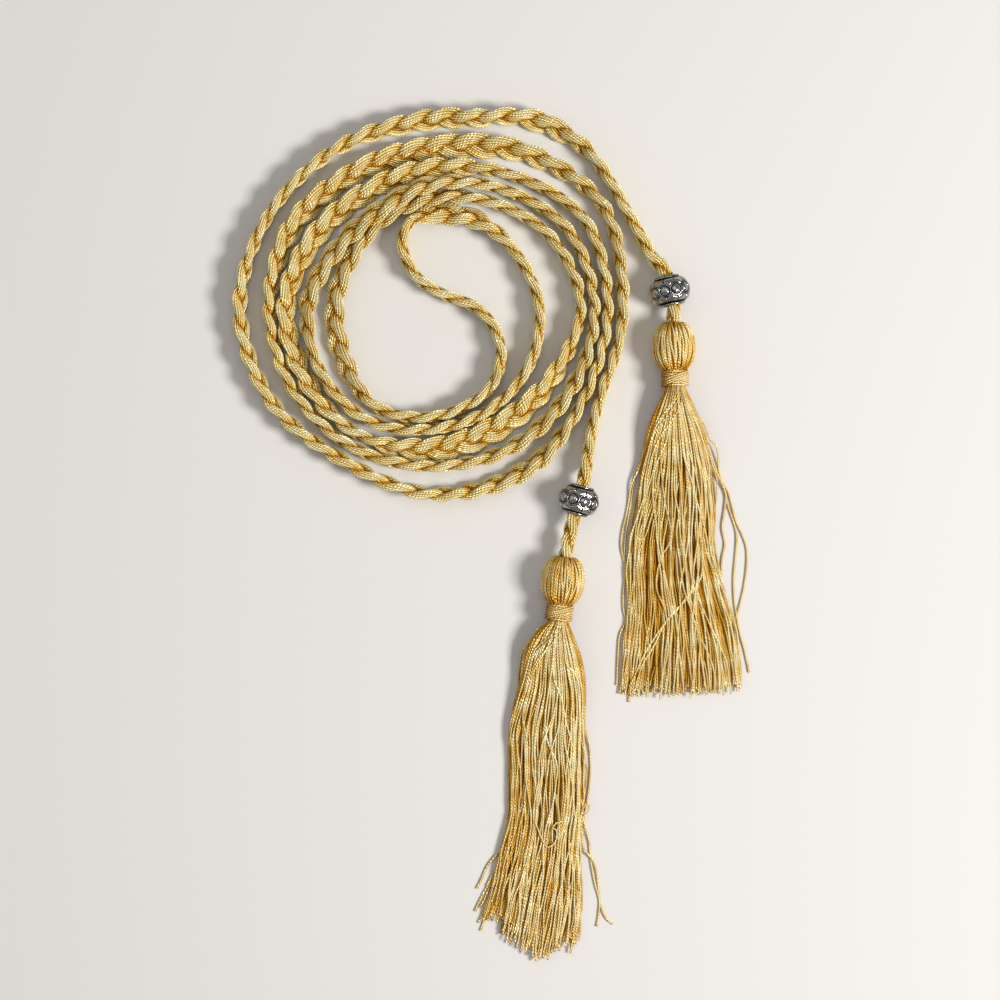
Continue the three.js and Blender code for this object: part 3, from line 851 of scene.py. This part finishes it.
LOWER_SKIRT = {
    "length": 106,
    "reach": 20,
    "crimp": 1.15,
    "outline": [
        (0, -0.17, 0.17, 0.94, 1),
        (0.04, -0.34, 0.29, 0.92, 0.8),
        (0.1, -0.47, 0.44, 0.84, 0.48),
        (0.2, -0.49, 0.57, 0.75, 0.18),
        (0.34, -0.54, 0.625, 0.64, 0.03),
        (0.46, -0.46, 0.69, 0.58, 0),
        (0.6, -0.42, 0.745, 0.51, 0),
        (0.72, -0.49, 0.8, 0.45, 0),
        (0.84, -0.58, 0.86, 0.4, 0),
        (1, -0.7, 0.87, 0.34, 0),
    ],
    "wad": (0.93, 0.62),
    "ends": [(-1, 0.87), (-0.5, 0.915), (0, 0.96), (0.3, 0.99), (0.45, 0.98), (0.55, 0.955),
             (0.8, 0.94), (1, 0.87)],
    "sweeps": [
        [(0, 0.5), (0.02, 0.3), (0.05, -0.3), (0.09, -0.8), (0.15, -0.97), (0.4, -0.95), (0.8, -0.97)],
        [(0, 0.3), (0.02, 0.05), (0.05, -0.5), (0.08, -0.88), (0.15, -0.92), (0.5, -0.96), (0.84, -0.9)],
        [(0, 0.7), (0.03, 0.4), (0.07, -0.2), (0.12, -0.7), (0.2, -0.9), (0.5, -0.8), (0.85, -0.8)],
        [(0, 0.0), (0.17, 0.04), (0.21, 0.26), (0.26, 0.45), (0.32, 0.65), (0.39, 0.77), (0.5, 0.75),
         (0.75, 0.7), (0.95, 0.8)],
        [(0, 0.6), (0.065, 0.61), (0.12, 0.6), (0.145, 0.89), (0.19, 0.94), (0.29, 0.9), (0.46, 0.77),
         (0.68, 0.73), (0.96, 0.73)],
        [(0, 0.05), (0.05, 0.09), (0.19, -0.11), (0.3, -0.12), (0.36, -0.02), (0.415, 0.15),
         (0.51, 0.14), (0.61, 0.0), (0.76, 0.09), (1.0, 0.29)],
        [(0, -0.2), (0.065, -0.3), (0.148, -0.73), (0.256, -0.79), (0.354, -0.6), (0.481, -0.67),
         (0.624, -0.69), (0.753, -0.66), (0.909, -0.5)],
        [(0, 0.3), (0.2, 0.35), (0.4, 0.6), (0.6, 0.75), (0.75, 0.5), (0.85, 0.45), (0.99, 0.5)],
    ],
    "strays": [
        [(0.251, 0.54), (0.299, 0.6), (0.333, 0.678), (0.388, 0.745), (0.445, 0.775), (0.516, 0.77),
         (0.559, 0.754), (0.63, 0.767), (0.95, 0.8)],
        [(0.518, 0.7), (0.567, 0.743), (0.628, 0.868), (0.684, 0.928), (0.753, 1.037), (0.801, 1.138),
         (0.843, 1.152), (0.879, 1.144)],
        [(0.603, 0.74), (0.658, 0.814), (0.683, 0.958), (0.714, 1.036), (0.773, 1.11), (0.821, 1.177),
         (0.855, 1.288), (0.866, 1.39)],
        [(0.052, -0.35), (0.093, -0.49), (0.15, -0.51), (0.222, -0.505), (0.259, -0.535), (0.294, -0.54),
         (0.4, -0.53), (0.6, -0.43), (0.82, -0.56)],
        [(0.598, -0.38), (0.641, -0.41), (0.682, -0.472), (0.736, -0.655), (0.769, -0.711),
         (0.808, -0.782)],
        [(0.662, -0.38), (0.713, -0.442), (0.755, -0.549), (0.797, -0.637)],
        [(0.668, -0.36), (0.735, -0.45), (0.794, -0.575), (0.839, -0.651), (0.863, -0.705)],
        [(0.64, -0.36), (0.72, -0.46), (0.8, -0.63), (0.85, -0.73), (0.875, -0.77)],
        [(0.71, -0.4), (0.783, -0.5), (0.843, -0.6), (0.879, -0.65), (0.907, -0.7)],
        [(0.7, -0.35), (0.78, -0.45), (0.843, -0.55), (0.889, -0.6), (0.93, -0.65)],
    ],
    # along, across of each short curl
    "curls": [
        [(0.59, -0.006), (0.607, 0.049), (0.637, 0.135), (0.658, 0.224), (0.651, 0.314), (0.632, 0.359),
         (0.611, 0.354), (0.601, 0.284), (0.586, 0.332), (0.579, 0.433)],
        [(0.559, 0.74), (0.538, 0.81), (0.523, 0.8), (0.521, 0.754), (0.535, 0.725)],
    ],
}
LOCKS = 15

# A skirt's threads lie in layers, the palest on top and the last against the table, the lower ones
# darker with painted shade share of the threads, place in the depth, painted shade
LAYERS = [
    (0.18, 0.95, -0.08),
    (0.22, 0.6, 0.38),
    (0.23, 0.2, 0.8),
    (0.21, -0.15, 1.05),
    (0.16, -0.85, 0.8),
]


def across_skirt(skirt, along):
    """The skirt's middle and half width there, and its depth and rise."""
    outline = smooth_through(skirt["outline"], 1, 8)
    left, right, depth, rise = (
        np.interp(along, outline[:, 0], column) for column in outline.T[1:]
    )
    reach = skirt["reach"]
    return (left + right) / 2 * reach, (right - left) / 2 * reach - THREAD_RADIUS, depth, rise


def in_skirt(skirt, along, p, q):
    """Where a thread lies in the skirt, from its place p across and q up, both from -1 to 1."""
    middle, half_width, depth, rise = across_skirt(skirt, along)
    spread = smoothstep(0, 0.35, along)
    across = lerp(p * np.sqrt(1 - np.clip(q * q, 0, 1) / 2), p, spread)
    inside = np.clip(1 - p * p, 0, 1)
    half_depth = depth * NECK_DIAMETER / 2 * lerp(1, np.sqrt(1 - 0.7 * (1 - inside)), spread)
    up = lerp(q * np.sqrt((1 + inside) / 2), q, spread)
    z = lerp(half_depth, HEAD_AXIS, rise) + up * (half_depth - THREAD_RADIUS)
    return middle + across * half_width, z


def down_skirt(skirt, along):
    """The place on Y of a share of a skirt's length, from the head's top."""
    return -(SKIRT_START + along * skirt["length"])


def layered_threads(rng):
    """The place across, the place in the depth and the painted shade of each thread of the layers."""
    layers = []
    for layer_share, up, layer_shade in LAYERS:
        count = round(SKIRT_THREADS * layer_share)
        layers.append(np.stack([
            np.linspace(-1, 1, count) + rng.uniform(-1, 1, count) / count,
            up + rng.uniform(-0.12, 0.12, count),
            layer_shade + rng.uniform(-0.14, 0.14, count),
        ]))
    p, q, painted_shade = np.hstack(layers)[..., None]
    return np.clip(p, -1, 1), np.clip(q, -1, 1), painted_shade


def skirt_threads(name, skirt, place, seed):
    """A skirt's threads in layers, gathered into locks, and after them the ones with a path of
    their own, which sweep over the others or lie loose at the sides."""
    rng = np.random.default_rng(seed)
    sweeps, strays = skirt["sweeps"], skirt["strays"]
    own_paths = sweeps + strays
    p0, q, painted_shade = layered_threads(rng)
    count = len(p0)
    total = count + len(own_paths)

    # how far each thread goes, with the ones deeper down a little shorter
    ends = np.array(skirt["ends"])
    end = np.interp(p0, ends[:, 0], ends[:, 1]) + rng.uniform(-0.018, 0.013, (count, 1))
    end = np.vstack([end - 0.014 * painted_shade, np.array([rows[-1][0] for rows in own_paths])[:, None]])
    start = -(BINDING_LENGTH + 2 * GAP) / skirt["length"]
    along = lerp(start, end, np.linspace(0, 1, SKIRT_STEPS))

    # places across and in the depth: locks, threads that drift over their neighbours, sweeps
    p0 = np.vstack([p0, np.sign([rows[-1][1] for rows in own_paths])[:, None] * 0.95])
    q = np.vstack([q, np.full((len(sweeps), 1), 1.15), np.full((len(strays), 1), 0.1)])
    # the sweeps and strays get little painted shade, and all threads are paler towards the side at +X
    # with painted light
    painted_shade = np.vstack([painted_shade, np.full((len(own_paths), 1), -0.1)]) - 0.12 * p0
    lock = np.round((p0 + 1) / 2 * (LOCKS - 1)).astype(int)[:, 0]
    gathered = 0.22 * smoothstep(0.15, 0.5, along)
    p = lerp(p0, lock[:, None] / (LOCKS - 1) * 2 - 1, gathered)
    crossing = (rng.random((total, 1)) < 0.5) & (q > 0)
    drift = np.where(crossing, rng.uniform(-0.45, 0.45, (total, 1)), 0)
    begin = rng.uniform(0.05, 0.6, (total, 1))
    p = p + drift * smoothstep(begin, begin + rng.uniform(0.25, 0.5, (total, 1)), along)
    loose = smoothstep(0.02, 0.4, along)
    p = p + loose * 0.05 * wander(rng, LOCKS, along[:1])[lock]
    for k, rows in enumerate(sweeps, count):
        path = smooth_through(rows, 1, 8)
        p[k] = np.interp(along[k], path[:, 0], path[:, 1])
    p = np.clip(p, -1, 1)

    # the same in millimetres, with each thread's own waves, and the loose threads' own paths
    x, z = in_skirt(skirt, along, p, np.clip(q + 0.4 * np.abs(drift) * loose, -1, 1.15))
    freer = (1 + 0.4 * (q > 0.4)) * skirt["crimp"]
    x = x + loose * SKIRT_WAVE * freer * wander(rng, total, along, (1.1, 2.9, 6.1))
    x = x + loose * SKIRT_RIPPLE * freer * wander(rng, total, along, (9, 14, 20))
    z = z + loose * SKIRT_HEAVE * wander(rng, total, along, (1.9, 4.7, 9.3))
    for k, rows in enumerate(strays, count + len(sweeps)):
        path = smooth_through(rows, 1, 8)
        own = np.interp(along[k], path[:, 0], path[:, 1]) * skirt["reach"]
        x[k] = lerp(x[k], own, smoothstep(rows[0][0] - 0.06, rows[0][0] + 0.01, along[k]))
        z[k] = lerp(z[k], THREAD_RADIUS + STRAY_LIFT, smoothstep(0, 0.15, along[k] - rows[0][0]))

    # thinner where the binding draws them together, and frayed wider at their tips
    thin = lerp(0.6, 1, smoothstep(-0.03, 0.14, along))
    tip = smoothstep(-TIP_LENGTH, -TIP_FRAYED, (along - end) * skirt["length"])
    radius = THREAD_RADIUS * thin * (1 + 0.2 * tip) * rng.uniform(0.86, 1.1, (total, 1))
    y, z = down_skirt(skirt, along), np.maximum(z, radius + ABOVE_TABLE)
    lines = np.stack([x, y, z], axis=-1)
    hint = np.cross((0, 0, 1), np.gradient(lines, axis=1))
    points = thread_points(lines, hint, radius, radius * 0.95, SKIRT_THREAD_SIDES)

    # painted shade: darker at the binding, paler towards the tips and where a middle layer shows at the
    # sides
    shade = painted_shade * (1 - 0.5 * smoothstep(0.8, 1, along / end)) * (1 - tip) - 0.15 * tip
    shade = shade + 0.2 * (1 - smoothstep(0, 0.1, along))
    exposed = smoothstep(0.7, 0.95, np.abs(p)) * (np.abs(q) < 0.5)
    shade = shade * (1 - 0.65 * exposed)
    turn = rng.uniform(0, 1, (total, 1))
    piece = tubes(
        name + "_skirt", placed(points, place), along * skirt["length"] / TWIST_PITCH + turn,
        shade[..., None] + section_shade(SKIRT_THREAD_SIDES), 1, GOLD_THREAD,
    )
    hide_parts(name)


def wad(name, skirt, place):
    """The mass of threads inside a skirt, seen between the ones above it, coloured all over with painted
    shade.
    """
    end, narrow = skirt["wad"]
    share = np.linspace(0, 1, WAD_STEPS)[:, None]
    along = lerp(-0.02, end, share)
    angle = math.tau * np.arange(WAD_SIDES) / WAD_SIDES
    p = lerp(0.86, narrow, smoothstep(0.6, 1, share)) * np.cos(angle)
    x, z = in_skirt(skirt, along, p, -0.45 + 0.25 * np.sin(angle))
    y = np.broadcast_to(down_skirt(skirt, along), x.shape)
    points = np.stack([x, y, np.maximum(z, INSIDE_ABOVE_TABLE)], axis=-1)[None]
    # an even painted shade
    piece = tubes(
        name + "_wad", placed(points, place), along[:, 0] * skirt["length"] / TWIST_PITCH,
        np.full(points.shape[:3], 0.45), WAD_SIDES, GOLD_PLAIT,
    )
    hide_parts(name)


def curls(name, skirt, place):
    """Short curled ends that lie on top of a skirt."""
    lines = []
    for rows in skirt["curls"]:
        path = smooth_through(rows, 2, 12)
        path = path[np.round(np.linspace(0, len(path) - 1, CURL_STEPS)).astype(int)]
        along, x = path[:, 0], path[:, 1] * skirt["reach"]
        middle, half_width, _, _ = across_skirt(skirt, along)
        _, z = in_skirt(skirt, along, np.clip((x - middle) / half_width, -1, 1), 1.2)
        lines.append(np.stack([x, down_skirt(skirt, along), z + CURL_LIFT], axis=-1))
    lines = np.array(lines)
    hint = np.cross((0, 0, 1), np.gradient(lines, axis=1))
    points = thread_points(lines, hint, 0.85 * THREAD_RADIUS, 0.8 * THREAD_RADIUS, CURL_SIDES)
    length = np.cumsum(np.linalg.norm(np.diff(lines, axis=1, prepend=lines[:, :1]), axis=2), axis=1)
    # painted shade across each thread's section, a little paler overall
    shade = np.broadcast_to(section_shade(CURL_SIDES) - 0.1, points.shape[:3])
    piece = tubes(
        name + "_curls", placed(points, place), length / TWIST_PITCH, shade, 1,
        GOLD_THREAD,
    )
    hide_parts(name)


# The wraps round the neck: an even layer under two groups that cross on top
# turns, from, to, tilt, radius, drawn in at the sides
WRAPS = [
    (7, 0.4, 5.2, 0.15, 3.88, 0),
    (3, 1.8, 3.9, 1.4, 4.3, 0.2),
    (3, 1.7, 3.8, -1.4, 4.58, 0.42),
]


def binding(name, place, seed):
    """Each row's thread winds round the neck from underneath, tucked in at both its ends."""
    rng = np.random.default_rng(seed)
    share = np.linspace(0, 1, WRAP_STEPS)
    lines, painted_shade = [], []
    for turns, first, last, tilt, radius, drawn_in in WRAPS:
        angle = -math.pi / 2 + math.tau * turns * share
        down = lerp(first, last, share) + tilt * np.cos(angle)
        down = down + WRAP_DRIFT * wander(rng, 1, share, (2.3, 5.1, 9.7))[0]
        down = np.clip(down, WRAP_HALF_WIDTH, BINDING_LENGTH - WRAP_HALF_WIDTH)
        tucked = 1 - smoothstep(0, 0.04, np.minimum(share, 1 - share))
        rounded = BINDING_ROUNDING * ((down / BINDING_LENGTH * 2 - 1) ** 2)
        reach = radius - TUCK_DEPTH * tucked - rounded - drawn_in * np.cos(angle) ** 2
        reach = reach + WRAP_UNEVEN * wander(rng, 1, share, (3.7, 7.3, 13.1))[0]
        y = -(HEAD_LENGTH + GAP + down)
        lines.append(np.stack([reach * np.cos(angle), y, reach * np.sin(angle) + HEAD_AXIS], axis=-1))
        # painted light: paler on top and towards +X, darker underneath and towards -X
        painted_shade.append(0.46 - 0.4 * np.sin(angle) - 0.3 * np.cos(angle))
    lines = np.array(lines)
    hint = np.broadcast_to((0, -1.0, 0), lines.shape)
    points = thread_points(lines, hint, WRAP_HALF_WIDTH, WRAP_HALF_HEIGHT, WRAP_SIDES)
    shade = np.array(painted_shade)[..., None] + section_shade(WRAP_SIDES)
    piece = tubes(
        name + "_wraps", placed(points, place), share * WRAP_LENGTH / TWIST_PITCH, shade, 1,
        BINDING_THREAD,
    )
    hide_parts(name)


for name, skirt, place, seed in (
    ("upper", UPPER_SKIRT, UPPER_HEAD_TOP, 11),
    ("lower", LOWER_SKIRT, LOWER_HEAD_TOP, 23),
):
    head("tassel_" + name, place, seed)
    core("tassel_" + name, place)
    wad("tassel_" + name, skirt, place)
    skirt_threads("tassel_" + name, skirt, place, seed + 1)
    binding("binding_" + name, place, seed + 2)
curls("tassel_lower", LOWER_SKIRT, LOWER_HEAD_TOP)


def table_top(half_side):
    mesh = bpy.data.meshes.new("table")
    corners = [(x * half_side, y * half_side, 0) for x, y in ((-1, -1), (1, -1), (1, 1), (-1, 1))]
    mesh.from_pydata(corners, [], [(0, 1, 2, 3)])
    material, _, shader = new_material("pale_table")
    shader.inputs["Base Color"].default_value = (0.71, 0.7, 0.685, 1)
    shader.inputs["Roughness"].default_value = 0.85
    mesh.materials.append(material)
    table = bpy.data.objects.new("table", mesh)
    bpy.context.scene.collection.objects.link(table)


def area_light(name, place, size, power, colour):
    """A square light that faces the origin, at the middle of the object."""
    light = bpy.data.lights.new(name, "AREA")
    light.size = size
    light.energy = power
    light.color = colour
    lamp = bpy.data.objects.new(name, light)
    lamp.location = place
    direction = -np.array(place)
    lamp.rotation_euler = (
        math.atan2(math.hypot(direction[0], direction[1]), -direction[2]),
        0,
        math.atan2(direction[1], direction[0]) - math.pi / 2,
    )
    bpy.context.scene.collection.objects.link(lamp)


# name, place, side, watts, colour
LIGHTS = [
    ("key", (0.9, -0.2, 0.95), 0.35, 17.5, (1.0, 0.97, 0.93)),
    ("fill", (-0.7, 0.3, 0.6), 0.8, 1.0, (0.97, 0.98, 1.0)),
    ("top", (0.0, 0.3, 1.1), 0.6, 1.6, (1.0, 1.0, 1.0)),
]

table_top(half_side=3)
for row in LIGHTS:
    area_light(*row)
world = bpy.data.worlds.new("studio")
world.use_nodes = True
world.node_tree.nodes["Background"].inputs["Color"].default_value = (1.0, 0.98, 0.95, 1)
world.node_tree.nodes["Background"].inputs["Strength"].default_value = 0.28
bpy.context.scene.world = world
bpy.context.scene.view_settings.view_transform = "Standard"
